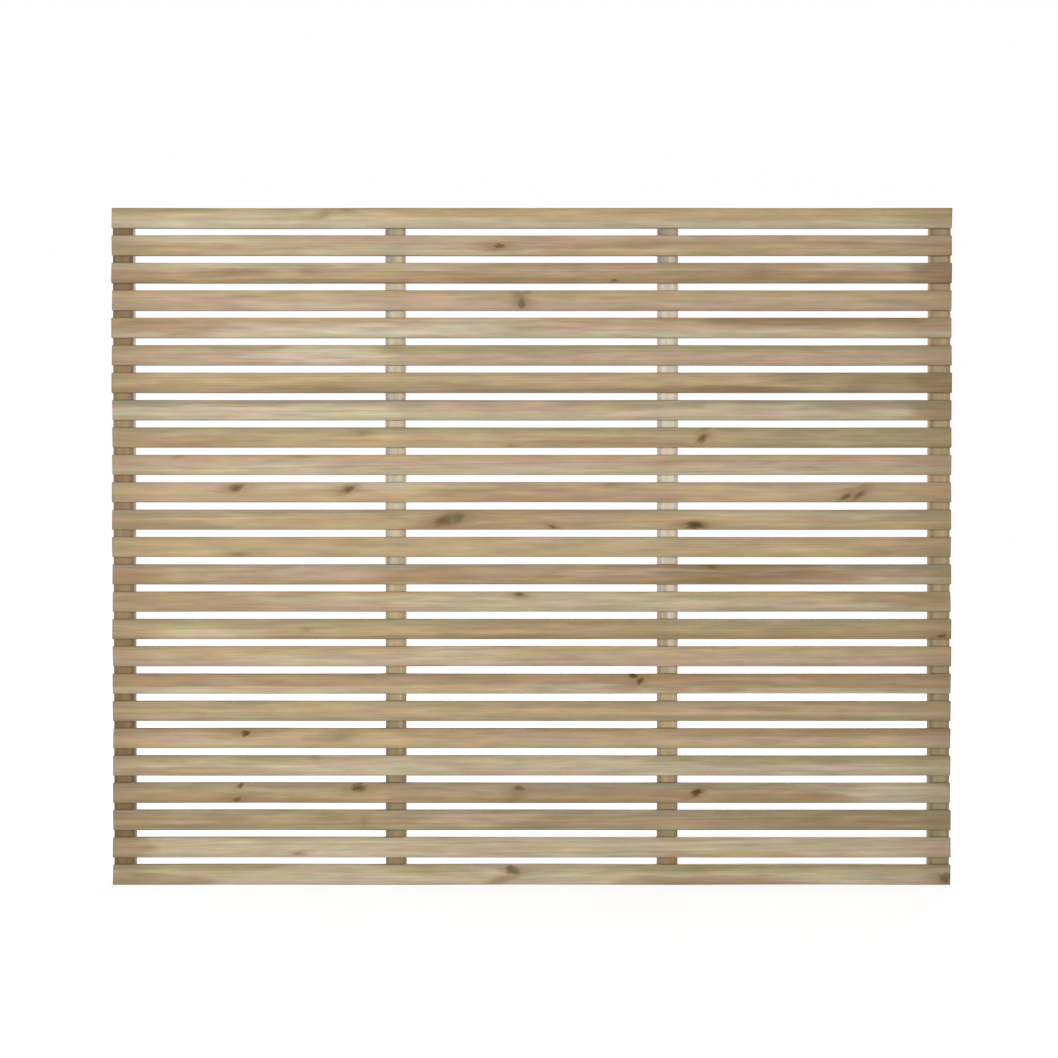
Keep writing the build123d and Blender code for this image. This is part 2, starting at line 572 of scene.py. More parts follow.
def growth_rings():
    """Year rings round the log's heart: early wood that darkens towards a sharp edge of late wood."""
    wiring, given, result = new_group(
        "Growth Rings",
        {
            "Log Place": "place",
            "Ring Width": "value",
            "Ring Wander": "value",
            "Taper": "value",
            "Seed": "value",
        },
        {"Late Wood": "value"},
    )
    seeded = wiring.vector("ADD", given["Log Place"], given["Seed"])
    radius = wiring.distance(wiring.vector("MULTIPLY", given["Log Place"], OFF_AXIS))
    cone = wiring.math("MULTIPLY_ADD", wiring.parts(given["Log Place"])[ACROSS], given["Taper"], radius)
    broad = wiring.span(wiring.noise(seeded, WANDER_WAVES), -1.0, 1.0)
    ripple = wiring.span(wiring.noise(seeded, RIPPLE_WAVES), -RIPPLE_SHARE, RIPPLE_SHARE)
    flutter = wiring.span(wiring.noise(seeded, FLUTTER_WAVES), -FLUTTER_SHARE, FLUTTER_SHARE)
    stray = wiring.math("ADD", broad, wiring.math("ADD", ripple, flutter))
    grown = wiring.math("MULTIPLY_ADD", stray, given["Ring Wander"], cone)
    even_years = wiring.math("DIVIDE", grown, given["Ring Width"])
    turns = {"W": even_years, "Scale": RING_PACE}
    pace = wiring.node("ShaderNodeTexNoise", turns, noise_dimensions="1D").outputs[NOISE_LEVEL]
    years = wiring.math("ADD", even_years, wiring.span(pace, -RING_DRIFT, RING_DRIFT))
    season = wiring.math("FRACT", years)
    year = wiring.math("ADD", wiring.math("FLOOR", years), given["Seed"])
    luck = wiring.node("ShaderNodeTexWhiteNoise", {"W": year}, noise_dimensions="1D").outputs["Value"]
    strength = wiring.span(luck, WEAKEST_YEAR, 1.0)
    start = wiring.fade(season, *LATE_WOOD_START)
    end = wiring.fade(season, *LATE_WOOD_END)
    late_wood = wiring.math("MULTIPLY", wiring.math("MULTIPLY", start, end), strength)
    wiring.put(result["Late Wood"], late_wood)
    return wiring.tree


# What a noise that runs along a board is given
WAVE_SOCKETS = {"Place": "place", "Length": "value", "Width": "value", "Seed": "value"}


def seeded_waves(wiring, given):
    """A place moved by its seed, and the lengths of a noise's waves along, through and across a board."""
    seeded = wiring.vector("ADD", given["Place"], given["Seed"])
    return seeded, wiring.join(given["Length"], given["Width"], given["Width"])


# How fine a streak is
STREAK_DETAIL = 3.0


def long_streaks():
    """Soft streaks along a board, which cover more of it as the noise level where they start gets lower."""
    wiring, given, result = new_group(
        "Long Streaks",
        WAVE_SOCKETS | {"Start": "value", "Full": "value"},
        {"Streak": "value"},
    )
    seeded, waves = seeded_waves(wiring, given)
    level = wiring.noise(seeded, waves, STREAK_DETAIL)
    wiring.put(result["Streak"], wiring.fade(level, given["Start"], given["Full"]))
    return wiring.tree


# How far a mottle may move a tone's red, green and blue apart, how far it may darken or lighten the tone,
# and how fine it is
MOTTLE_HUE = Vector((0.34, 0.34, 0.5))
MOTTLE_LIGHT = 0.34
MOTTLE_DETAIL = 4.0
NO_TINT = Vector((1.0, 1.0, 1.0))


def mottled_tint():
    """Soft mottles along a board: a tint, near to white, that shifts the tone's hue and its lightness."""
    wiring, given, result = new_group("Mottled Tint", WAVE_SOCKETS, {"Tint": "colour"})
    seeded, waves = seeded_waves(wiring, given)
    hues = wiring.noise(seeded, waves, MOTTLE_DETAIL, NOISE_COLOUR)
    hue = wiring.vector("MULTIPLY_ADD", hues, MOTTLE_HUE, NO_TINT - MOTTLE_HUE / 2)
    apart = wiring.vector("SUBTRACT", given["Place"], given["Seed"])
    light = wiring.span(wiring.noise(apart, waves, MOTTLE_DETAIL), 1.0 - MOTTLE_LIGHT, 1.0 + MOTTLE_LIGHT)
    wiring.put(result["Tint"], wiring.vector("MULTIPLY", hue, light))
    return wiring.tree


# How far the borders between a board's three tones sway and how soft they are, where the board's half is 1
TONE_SWAY = 0.9
TONE_BORDER = 0.6


def broad_tone():
    """Three tones over a board, from a level of -1 to 1, with soft borders that sway along it."""
    wiring, given, result = new_group(
        "Broad Tone",
        WAVE_SOCKETS | {"Level": "value", "Upper": "colour", "Middle": "colour", "Lower": "colour"},
        {"Tone": "colour"},
    )
    seeded, waves = seeded_waves(wiring, given)
    sway = wiring.span(wiring.noise(seeded, waves), -TONE_SWAY, TONE_SWAY)
    level = wiring.math("ADD", given["Level"], sway)
    lower = wiring.mix(wiring.fade(level, -TONE_BORDER, 0.0), given["Lower"], given["Middle"])
    wiring.put(result["Tone"], wiring.mix(wiring.fade(level, 0.0, TONE_BORDER), lower, given["Upper"]))
    return wiring.tree


# A patch's border: the lengths of its waves, in metres, how far they reach, and where the patch starts and
# is full, in half sizes of the patch from its middle
PATCH_WAVES = (0.11, 0.02, 0.016)
PATCH_RAGGED = 0.8
PATCH_BORDER = (1.35, 0.55)


def long_patch():
    """A patch of another tone, long along the grain, with a ragged, feathered border."""
    wiring, given, result = new_group(
        "Long Patch",
        {"Place": "place", "Middle": "place", "Half Size": "place"},
        {"Patch": "value"},
    )
    offset = wiring.vector("SUBTRACT", given["Place"], given["Middle"])
    out = wiring.distance(wiring.vector("DIVIDE", offset, given["Half Size"]))
    ragged = wiring.span(wiring.noise(given["Place"], PATCH_WAVES), -PATCH_RAGGED, PATCH_RAGGED)
    wiring.put(result["Patch"], wiring.fade(wiring.math("ADD", out, ragged), *PATCH_BORDER))
    return wiring.tree


# A knot's ragged outline: its waves and how far they reach, in knot radii, and how far the noise moves on
# from knot to knot for each metre between them
RAGGED_WAVES = (1.1, 1.0, 0.9)
RAGGED_REACH = 0.9
RAGGED_APART = 40.0

# Where each part of a knot starts and is full, in knot radii from its middle
WOOD_BORDER = (1.5, 0.5)
CORE_BORDER = (0.95, 0.05)
SMEAR_BORDER = (1.8, -0.2)
HALO_BORDER = (1.6, 0.3)

# A knot's tail: the shares of the squared distance along and across the grain, how much of the raggedness
# it takes, and how fast the grain closes again
TAIL_ALONG, TAIL_ACROSS = 0.14, 0.6
TAIL_RAGGED = 0.5
GRAIN_CLOSING = 1.6


def branch_knot():
    """A knot through a board, with a dark core: the grain parts round it and a halo trails off along it."""
    wiring, given, result = new_group(
        "Branch Knot",
        {
            "Place": "place",
            "Middle": "place",
            "Half Length": "value",
            "Half Height": "value",
            "Slant": "value",
        },
        {"Shift": "place", "Wood": "value", "Core": "value", "Smear": "value", "Halo": "value"},
    )
    offset = wiring.vector("SUBTRACT", given["Place"], given["Middle"])
    slanted = {"Vector": offset, "Angle": given["Slant"]}
    turned = wiring.parts(wiring.node("ShaderNodeVectorRotate", slanted, rotation_type="Y_AXIS").outputs[0])
    along = wiring.math("DIVIDE", turned[ACROSS], given["Half Length"])
    up = wiring.math("DIVIDE", turned[UP], given["Half Height"])
    apart = wiring.math("MULTIPLY", wiring.parts(given["Middle"])[ACROSS], RAGGED_APART)
    outline = wiring.noise(wiring.join(along, apart, up), RAGGED_WAVES)
    ragged = wiring.span(outline, -RAGGED_REACH, RAGGED_REACH)
    square_along = wiring.math("MULTIPLY", along, along)
    square_up = wiring.math("MULTIPLY", up, up)
    out = wiring.math("ADD", wiring.math("SQRT", wiring.math("ADD", square_along, square_up)), ragged)
    wiring.put(result["Wood"], wiring.fade(out, *WOOD_BORDER))
    wiring.put(result["Core"], wiring.fade(out, *CORE_BORDER))
    wiring.put(result["Smear"], wiring.fade(out, *SMEAR_BORDER))

    tail_up = wiring.math("MULTIPLY", square_up, TAIL_ACROSS)
    tail = wiring.math("MULTIPLY_ADD", square_along, TAIL_ALONG, tail_up)
    far = wiring.math("MULTIPLY_ADD", ragged, TAIL_RAGGED, wiring.math("SQRT", tail))
    wiring.put(result["Halo"], wiring.fade(far, *HALO_BORDER))
    pull = wiring.math("DIVIDE", 1.0, wiring.math("MULTIPLY_ADD", tail, GRAIN_CLOSING, 1.0))
    lift = wiring.math("MULTIPLY", wiring.parts(offset)[UP], pull)
    wiring.put(result["Shift"], wiring.join(0.0, 0.0, lift))
    return wiring.tree


# How far in from a board's surface the painted shade of its rounded edges, its sawn ends and the soaked
# stretches beside them start and are full, in metres
ARRIS_SHADE_REACH = (0.011, 0.004)
END_REACH = (0.004, 0.0008)
SOAK_REACH = (0.15, 0.0)


def board_edges():
    """Masks of a board's painted edge shade, its sawn ends and the stretches there that soaked up more."""
    wiring, given, result = new_group(
        "Board Edges",
        {"Place": "place", "Half Size": "place"},
        {"Arris": "value", "End": "value", "Soak": "value"},
    )
    inwards = wiring.vector("SUBTRACT", given["Half Size"], wiring.vector("ABSOLUTE", given["Place"]))
    along, through, across = wiring.parts(inwards)
    # Painted shade: a mask that grows towards the rounded long edges
    wiring.put(result["Arris"], wiring.fade(wiring.math("MAXIMUM", through, across), *ARRIS_SHADE_REACH))
    wiring.put(result["End"], wiring.fade(along, *END_REACH))
    wiring.put(result["Soak"], wiring.fade(along, *SOAK_REACH))
    return wiring.tree


def effect(make):
    """A shared node group, built the first time that a material needs it."""
    name = make.__name__.replace("_", " ").title()
    return bpy.data.node_groups.get(name) or make()


def new_material(name):
    """A material with no nodes yet, and its wiring."""
    material = bpy.data.materials.new(name)
    material.use_nodes = True
    material.node_tree.nodes.clear()
    return material, Wiring(material.node_tree)


def new_finish(name):
    """A material with a bare Principled shader, its wiring and that shader's node."""
    material, wiring = new_material(name)
    shader = wiring.node("ShaderNodeBsdfPrincipled")
    wiring.node("ShaderNodeOutputMaterial", {"Surface": shader.outputs[0]})
    return material, wiring, shader


# Timber finishes

# A board's own frame, the axis that its three tones follow, and how strongly some of its layers show
Board = namedtuple("Board", "middle half_size turn tone_axis edge_strength soak_strength ring_strength")

# Patches go right through a board, and the grain parts round firm knots only
PATCH_DEPTH = 0.1
FIRM_KNOTS = ("brown", "dark", "green")

# How strongly each layer of a timber shows
PATCH_STRENGTH = 0.8
KNOT_STRENGTH = {"brown": 0.8, "dark": 0.9, "green": 0.8, "faint": 0.6, "stain": 0.6}
CORE_STRENGTH = {"brown": 0.6, "dark": 0.8, "green": 0.3, "faint": 0.0, "stain": 0.0}
HALO_STRENGTH = 0.5
SLAT_RING_STRENGTH = 0.4
BATTEN_RING_STRENGTH = 0.22
FLECK_STRENGTH = 0.35
# How strongly the painted shade darkens the rounded edges of slats and of battens
SLAT_EDGE_SHADE = 0.15
BATTEN_EDGE_SHADE = 0.45
SLAT_SOAK_STRENGTH = 0.32
BATTEN_SOAK_STRENGTH = 0.1

# The noise levels at which streaks of colour and flecks of resin start and are full
STREAK_LEVELS = (0.44, 0.66)
FLECK_LEVELS = (0.62, 0.75)

# How far a board's noises may be moved to differ from the other boards'
SEEDS = (0.0, 9.0)
MOTTLE_SEEDS = (1.0, 9.0)


def slat_board(node):
    """Where a slat's own frame lies: its middle and half its length, thickness and height."""
    low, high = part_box(node)
    return Board(
        middle=(low + high) / 2,
        half_size=(high - low) / 2,
        turn=(0.0, 0.0, 0.0),
        tone_axis=UP,
        edge_strength=SLAT_EDGE_SHADE,
        soak_strength=SLAT_SOAK_STRENGTH,
        ring_strength=SLAT_RING_STRENGTH,
    )


def batten_board(node):
    """Where a batten's own frame lies, with its length upright."""
    low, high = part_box(node)
    half = (high - low) / 2
    return Board(
        middle=(low + high) / 2,
        half_size=Vector((half.z, half.y, half.x)),
        turn=(0.0, radians(-90), 0.0),
        tone_axis=ACROSS,
        edge_strength=BATTEN_EDGE_SHADE,
        soak_strength=BATTEN_SOAK_STRENGTH,
        ring_strength=BATTEN_RING_STRENGTH,
    )


def part_grain(wiring, place, knots):
    """Leads the grain round a board's firm knots. Gives the parted place and each knot with its masks."""
    spots = []
    parted = place
    for knot in knots:
        spot = wiring.group(
            effect(branch_knot),
            {
                "Place": place,
                "Middle": (knot.across * MM, 0.0, knot.up * MM),
                "Half Length": knot.half_length * MM,
                "Half Height": knot.half_height * MM,
                "Slant": radians(knot.slant),
            },
        )
        spots.append((knot, spot))
        if knot.kind in FIRM_KNOTS:
            parted = wiring.vector("SUBTRACT", parted, spot["Shift"])
    return parted, spots


def add_streaks(wiring, place, length, width, levels, seed):
    """A mask of streaks along a board."""
    start, full = levels
    sizes = {"Place": place, "Length": length, "Width": width, "Start": start, "Full": full, "Seed": seed}
    return wiring.group(effect(long_streaks), sizes)["Streak"]


def lay_tones(wiring, place, board, timber, chance):
    """The three broad tones of a board."""
    colours = bpy.context.scene.fence_colours
    axis = board.tone_axis
    tones = {
        "Place": place,
        "Level": wiring.math("DIVIDE", wiring.parts(place)[axis], board.half_size[axis]),
        "Length": bpy.context.scene.fence_grain.tone_length,
        "Width": board.half_size.z,
        "Seed": chance.uniform(*SEEDS),
        "Upper": getattr(colours, timber.upper),
        "Middle": getattr(colours, timber.middle),
        "Lower": getattr(colours, timber.lower),
    }
    return wiring.group(effect(broad_tone), tones)["Tone"]


def lay_patches(wiring, tone, place, patches):
    """Lays patches of other tones over a board's own."""
    colours = bpy.context.scene.fence_colours
    for patch in patches:
        sizes = {
            "Place": place,
            "Middle": (patch.along * MM, 0.0, patch.across * MM),
            "Half Size": (patch.half_length * MM, PATCH_DEPTH, patch.half_width * MM),
        }
        mask = wiring.group(effect(long_patch), sizes)["Patch"]
        tone = wiring.layer(mask, PATCH_STRENGTH, tone, getattr(colours, patch.tone))
    return tone


def tint_timber(wiring, place, board, timber, patches, chance):
    """The broad tones of a board, its patches, its rosy and green streaks and its mottles."""
    colours = bpy.context.scene.fence_colours
    grain = bpy.context.scene.fence_grain
    tone = lay_tones(wiring, place, board, timber, chance)
    tone = lay_patches(wiring, tone, place, patches)
    for streak_colour, amount in ((colours.rosy, timber.rosy), (colours.olive, timber.green)):
        seed = chance.uniform(*SEEDS)
        streak = add_streaks(wiring, place, grain.streak_length, grain.streak_width, STREAK_LEVELS, seed)
        tone = wiring.layer(streak, amount, tone, streak_colour)
    mottles = {
        "Place": place,
        "Length": grain.mottle_length,
        "Width": grain.mottle_width,
        "Seed": chance.uniform(*MOTTLE_SEEDS),
    }
    tint = wiring.group(effect(mottled_tint), mottles)["Tint"]
    return wiring.mix(1.0, tone, tint, "MULTIPLY")


# A board's log: how far from its heart the board is sawn, in metres, how far round from square with its
# face and how far askew, in radians, how much it tapers, and how its ring spacing compares with the usual
HEART_DISTANCE = (0.03, 0.1)
SAWN_ROUND = (0.35, 1.4)
LOG_LEAN = 0.006
LOG_TAPER = 0.007
RING_SPREAD = (0.75, 1.5)


def log_place(wiring, place, chance):
    """A board's place in its log: how far from the heart it was sawn, to which side and how far askew."""
    distance = chance.uniform(*HEART_DISTANCE) * chance.choice((-1, 1))
    turn = chance.uniform(*SAWN_ROUND) * chance.choice((-1, 1))
    offset = (0.0, distance * cos(turn), distance * sin(turn))
    lean = (0.0, chance.uniform(-LOG_LEAN, LOG_LEAN), chance.uniform(-LOG_LEAN, LOG_LEAN))
    sawn = {"Vector": place, "Location": offset, "Rotation": lean}
    return wiring.node("ShaderNodeMapping", sawn).outputs[0]


def ring_late_wood(wiring, place, chance):
    """How much late wood shows at each place of a board, from the year rings of its log."""
    grain = bpy.context.scene.fence_grain
    rings = {
        "Log Place": log_place(wiring, place, chance),
        "Ring Width": grain.ring_width * chance.uniform(*RING_SPREAD),
        "Ring Wander": grain.ring_wander,
        "Taper": chance.uniform(-LOG_TAPER, LOG_TAPER),
        "Seed": chance.uniform(*SEEDS),
    }
    return wiring.group(effect(growth_rings), rings)["Late Wood"]


def shade_tone(wiring, tone, shade):
    """A tone made darker or lighter by a number."""
    return wiring.mix(1.0, tone, wiring.join(shade, shade, shade), "MULTIPLY")


def paint_knots(wiring, tone, spots):
    """Paints the halo, the wood and the dark core of each knot."""
    colours = bpy.context.scene.fence_colours
    for knot, spot in spots:
        strength = KNOT_STRENGTH[knot.kind]
        tone = wiring.layer(spot["Halo"], strength * HALO_STRENGTH, tone, colours.knot_faint)
        mask = spot["Wood"] if knot.kind in FIRM_KNOTS else spot["Smear"]
        tone = wiring.layer(mask, strength, tone, getattr(colours, "knot_" + knot.kind))
        tone = wiring.layer(spot["Core"], CORE_STRENGTH[knot.kind], tone, colours.knot_core, "MULTIPLY")
    return tone


def weather_board(wiring, tone, place, board):
    """Darkens the soaked stretch at each end of a board and its sawn ends, and paints shade on its rounded
    edges.
    """
    colours = bpy.context.scene.fence_colours
    edges = wiring.group(effect(board_edges), {"Place": place, "Half Size": board.half_size})
    tone = wiring.layer(edges["Soak"], board.soak_strength, tone, colours.walnut)
    # Painted shade that darkens the rounded long edges
    tone = wiring.layer(edges["Arris"], board.edge_strength, tone, colours.edge_wood, "MULTIPLY")
    return wiring.mix(edges["End"], tone, colours.end_grain, "MULTIPLY")


# The finest lines of a timber: their detail, how far they darken and lighten it, and how rough they are
FIBRE_DETAIL = 3.0
FIBRE_SHADE = (0.84, 1.16)
FIBRE_ROUGHNESS = (0.58, 0.8)

# A planed face: how much less rough late wood is, how strongly the face reflects, how high late wood and
# the planer's marks stand beside the fibres, and how much of that relief shows
LATE_WOOD_POLISH = -0.12
FACE_REFLECTION = 0.25
LATE_WOOD_HEIGHT = 0.5
KNIFE_HEIGHT = 0.08
RELIEF_STRENGTH = 0.6


def plane_face(wiring, shader, place, late_wood, fibre):
    """The sheen and relief of a planed face: its fibres, its harder late wood and the planer's marks."""
    grain = bpy.context.scene.fence_grain
    fibre_roughness = wiring.span(fibre, *FIBRE_ROUGHNESS)
    roughness = wiring.math("MULTIPLY_ADD", late_wood, LATE_WOOD_POLISH, fibre_roughness)
    wiring.put(shader.inputs["Roughness"], roughness)
    shader.inputs["Specular IOR Level"].default_value = FACE_REFLECTION
    knife_turn = wiring.math("MULTIPLY", wiring.parts(place)[ACROSS], 2 * pi / grain.planing)
    raised = wiring.math("MULTIPLY_ADD", late_wood, LATE_WOOD_HEIGHT, fibre)
    height = wiring.math("MULTIPLY_ADD", wiring.math("SINE", knife_turn), KNIFE_HEIGHT, raised)
    relief = {"Height": height, "Distance": grain.relief, "Strength": RELIEF_STRENGTH}
    wiring.put(shader.inputs["Normal"], wiring.node("ShaderNodeBump", relief).outputs[0])


def timber_finish(name, board, timber, patches, knots, chance):
    """Planed, pressure-treated softwood for one board."""
    colours = bpy.context.scene.fence_colours
    grain = bpy.context.scene.fence_grain
    material, wiring, shader = new_finish(name)
    object_place = wiring.node("ShaderNodeTexCoord").outputs["Object"]
    placing = {"Vector": object_place, "Location": board.middle, "Rotation": board.turn}
    place = wiring.node("ShaderNodeMapping", placing, vector_type="TEXTURE").outputs[0]
    parted, spots = part_grain(wiring, place, knots)
    tone = tint_timber(wiring, parted, board, timber, patches, chance)

    late_wood = ring_late_wood(wiring, parted, chance)
    tone = wiring.layer(late_wood, board.ring_strength, tone, colours.late_wood, "MULTIPLY")
    fibre_waves = (grain.fibre_length, grain.fibre_width, grain.fibre_width)
    fibre = wiring.noise(parted, fibre_waves, FIBRE_DETAIL)
    tone = shade_tone(wiring, tone, wiring.span(fibre, *FIBRE_SHADE))
    seed = chance.uniform(*SEEDS)
    fleck = add_streaks(wiring, parted, grain.fleck_length, grain.fleck_width, FLECK_LEVELS, seed)
    tone = wiring.layer(fleck, FLECK_STRENGTH, tone, colours.late_wood, "MULTIPLY")

    tone = paint_knots(wiring, tone, spots)
    wiring.put(shader.inputs["Base Color"], weather_board(wiring, tone, place, board))
    plane_face(wiring, shader, place, late_wood, fibre)
    return material


# The nails' zinc: the size of the clouds in its bloom, in metres, their detail, how far they shade the
# plating, how rough and how metallic it is, and how high the bloom stands
ZINC_WAVES = (0.0012, 0.0012, 0.0012)
ZINC_DETAIL = 3.0
ZINC_SHADE = (0.6, 1.25)
ZINC_ROUGHNESS = (0.35, 0.65)
ZINC_METALLIC = 0.9
ZINC_RELIEF = 0.00005


def zinc_finish():
    """Dull zinc for the nails, with a cloudy bloom on it."""
    colours = bpy.context.scene.fence_colours
    material, wiring, shader = new_finish("dull_zinc")
    place = wiring.node("ShaderNodeTexCoord").outputs["Object"]
    cloud = wiring.noise(place, ZINC_WAVES, ZINC_DETAIL)
    plating = shade_tone(wiring, colours.zinc, wiring.span(cloud, *ZINC_SHADE))
    wiring.put(shader.inputs["Base Color"], plating)
    wiring.put(shader.inputs["Roughness"], wiring.span(cloud, *ZINC_ROUGHNESS))
    shader.inputs["Metallic"].default_value = ZINC_METALLIC
    bump = wiring.node("ShaderNodeBump", {"Height": cloud, "Distance": ZINC_RELIEF})
    wiring.put(shader.inputs["Normal"], bump.outputs[0])
    return material


# Boards

# How near two places are that count as one, and to how many digits of a metre depths and cuts are rounded
SAME_PLANE = 0.00002
DEPTH_DIGITS = 5
CUT_DIGITS = 6

# How near to an axis a flat face's normal points, and how many faces go round a long edge and an eased rim
FLAT = 0.999
EDGE_FACES = 6
RIM_FACES = 2

# How far a slat may bow down and up in a bay, as shares of the most: the outer two only inwards
TOP_BOW = (-1.0, 0.0)
INNER_BOW = (-0.6, 0.6)
BASE_BOW = (0.0, 1.0)

# The battens' random draws start from numbers that no slat has
BATTEN_DRAWS = 100

AXES = (Vector((1.0, 0.0, 0.0)), Vector((0.0, 1.0, 0.0)), Vector((0.0, 0.0, 1.0)))

Nail = namedtuple("Nail", "head_low head_high wire_low wire_high")


def box_round(points):
    """The low and high corners of the box round some points."""
    low = Vector([min(point[axis] for point in points) for axis in range(3)])
    high = Vector([max(point[axis] for point in points) for axis in range(3)])
    return low, high


def nail_boxes(corners, depths, spare):
    """A nail's head and wire as boxes with their clearance."""
    _, head_back, shoulder, point = depths
    head_low, head_high = box_round([corner for corner in corners if corner.y < head_back + SAME_PLANE])
    wire_low, wire_high = box_round([corner for corner in corners if abs(corner.y - shoulder) < SAME_PLANE])
    wire_high.y = point
    return Nail(head_low - spare, head_high + spare, wire_low - spare, wire_high + spare)


def find_nails():
    """The two nails of each crossing, under the names of its slat and batten."""
    room = bpy.context.scene.fence_boards.nail_room
    spare = Vector((room, 0.0, room))
    corners = [vertex.co.copy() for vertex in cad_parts[NAILS].data.vertices]
    depths = sorted({round(corner.y, DEPTH_DIGITS) for corner in corners})
    nails = {}
    for slat in SLATS:
        slat_low, slat_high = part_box(slat)
        middle = (slat_low.z + slat_high.z) / 2
        row = [corner for corner in corners if slat_low.z < corner.z < slat_high.z]
        for batten in BATTENS:
            batten_low, batten_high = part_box(batten)
            pair = [corner for corner in row if batten_low.x < corner.x < batten_high.x]
            lower = [corner for corner in pair if corner.z < middle]
            upper = [corner for corner in pair if corner.z > middle]
            nails[slat, batten] = [nail_boxes(one, depths, spare) for one in (lower, upper)]
    return nails


def ease(board, edges, radius, segments):
    """Rounds some edges of a board."""
    bmesh.ops.bevel(
        board,
        geom=edges,
        offset=radius,
        offset_type="OFFSET",
        affect="EDGES",
        segments=segments,
        profile=0.5,
        material=-1,
    )


def rounded_board(low, high, along, edge_radius, rim):
    """A planed board with round long edges and the rims of its sawn ends eased."""
    board = bmesh.new()
    bmesh.ops.create_cube(board, size=1.0)
    bmesh.ops.scale(board, vec=high - low, verts=board.verts)
    bmesh.ops.translate(board, vec=(low + high) / 2, verts=board.verts)
    reach = (high - low)[along]
    long_edges = [edge for edge in board.edges if edge.calc_length() > reach / 2]
    ease(board, long_edges, edge_radius, EDGE_FACES)
    ends = (low[along], high[along])
    rims = [edge for edge in board.edges if any(lies_at(edge, along, end) for end in ends)]
    ease(board, rims, rim, RIM_FACES)
    for face in board.faces:
        face.smooth = max(abs(part) for part in face.normal) < FLAT
    return board


def lies_at(edge, axis, place):
    """Whether both ends of an edge lie in one plane across an axis."""
    return all(abs(vertex.co[axis] - place) < SAME_PLANE for vertex in edge.verts)


def cut_board(board, axis, places):
    """Cuts edges right across a board at some places along an axis."""
    for place in sorted(places):
        bmesh.ops.bisect_plane(
            board,
            geom=board.verts[:] + board.edges[:] + board.faces[:],
            plane_co=AXES[axis] * place,
            plane_no=AXES[axis],
        )


def even_cuts(low, high, longest):
    """Places of even cuts that leave no stretch longer than a given one."""
    count = int((high - low) / longest) + 1
    return [low + (high - low) * step / count for step in range(1, count)]


def faces_within(board, low, high):
    """The faces of a board whose middles lie in a box."""
    found = []
    for face in board.faces:
        middle = face.calc_center_median()
        if all(low[axis] - SAME_PLANE < middle[axis] < high[axis] + SAME_PLANE for axis in range(3)):
            found.append(face)
    return found


def sink_faces(board, faces, depth):
    """Pushes some faces of a board's front straight back, with walls round the hollow."""
    made = bmesh.ops.extrude_face_region(board, geom=faces)["geom"]
    corners = [item for item in made if isinstance(item, bmesh.types.BMVert)]
    bmesh.ops.translate(board, vec=AXES[THROUGH] * depth, verts=corners)


def finish_piece(board, name, node, material):
    """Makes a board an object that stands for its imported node."""
    bmesh.ops.recalc_face_normals(board, faces=board.faces)
    mesh = bpy.data.meshes.new(name)
    board.to_mesh(mesh)
    board.free()
    mesh.materials.append(material)
    piece = bpy.data.objects.new(name, mesh)
    bpy.context.scene.collection.objects.link(piece)
    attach(piece, BODY)
    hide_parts(node)


def drill_slat(board, nail, front, back):
    """Sinks a seat for a nail's head in a slat and drills on to the slat's back for its wire."""
    head_low = Vector((nail.head_low.x, front, nail.head_low.z))
    head_high = Vector((nail.head_high.x, front, nail.head_high.z))
    sink_faces(board, faces_within(board, head_low, head_high), nail.head_high.y - front)
    rims = []
    for depth in (nail.head_high.y, back):
        low = Vector((nail.wire_low.x, depth, nail.wire_low.z))
        high = Vector((nail.wire_high.x, depth, nail.wire_high.z))
        (end,) = faces_within(board, low, high)
        rims.extend(end.edges)
        bmesh.ops.delete(board, geom=[end], context="FACES_ONLY")
    bmesh.ops.bridge_loops(board, edges=rims)


def bow_range(number):
    """How far a slat may bow down and up. The outer two keep inside the panel."""
    if number == 1:
        return TOP_BOW
    return BASE_BOW if number == len(SLATS) else INNER_BOW


def bow_slat(board, shares, chance):
    """Bends a slat a little between each two battens: up or down, and backwards."""
    most = bpy.context.scene.fence_boards.bow
    for start, end in zip(BATTEN_MIDDLES, BATTEN_MIDDLES[1:]):
        lift = chance.uniform(*shares) * most
        dish = chance.uniform(0.0, 1.0) * most
        for vertex in board.verts:
            if start < vertex.co.x < end:
                swell = sin(pi * (vertex.co.x - start) / (end - start)) ** 2
                vertex.co.z += lift * swell
                vertex.co.y += dish * swell


def saw_ends(board, low, high, chance):
    """Saws both ends of a slat a little short and a little askew."""
    shape = bpy.context.scene.fence_boards
    middle = (low.z + high.z) / 2
    for end, inwards in ((low.x, 1.0), (high.x, -1.0)):
        trim = chance.uniform(0.0, 1.0) * shape.trim
        skew = chance.uniform(-1.0, 1.0) * shape.skew
        for vertex in board.verts:
            if abs(vertex.co.x - end) < 2 * shape.rim:
                lean = skew * (vertex.co.z - middle) / (high.z - middle)
                vertex.co.x += inwards * (trim + abs(skew) + lean)


def build_slat(node, number, nails):
    """One slat, with its nail holes and its finish."""
    shape = bpy.context.scene.fence_boards
    chance = Random(number)
    low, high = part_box(node)
    board = rounded_board(low, high, ACROSS, shape.slat_edge, shape.rim)
    own_nails = [nail for batten in BATTENS for nail in nails[node, batten]]
    columns = {side.x for nail in own_nails for side in nail}
    rows = {round(side.z, CUT_DIGITS) for nail in own_nails for side in nail}
    cut_board(board, ACROSS, columns | set(even_cuts(low.x, high.x, shape.cut)))
    cut_board(board, UP, rows)
    for nail in own_nails:
        drill_slat(board, nail, low.y, high.y)
    bow_slat(board, bow_range(number), chance)
    saw_ends(board, low, high, chance)
    timber = SLAT_TIMBERS[number - 1]
    patches = SLAT_PATCHES.get(number, [])
    knots = SLAT_KNOTS.get(number, [])
    material = timber_finish(node + "_wood", slat_board(node), timber, patches, knots, chance)
    finish_piece(board, "planed_" + node, node, material)


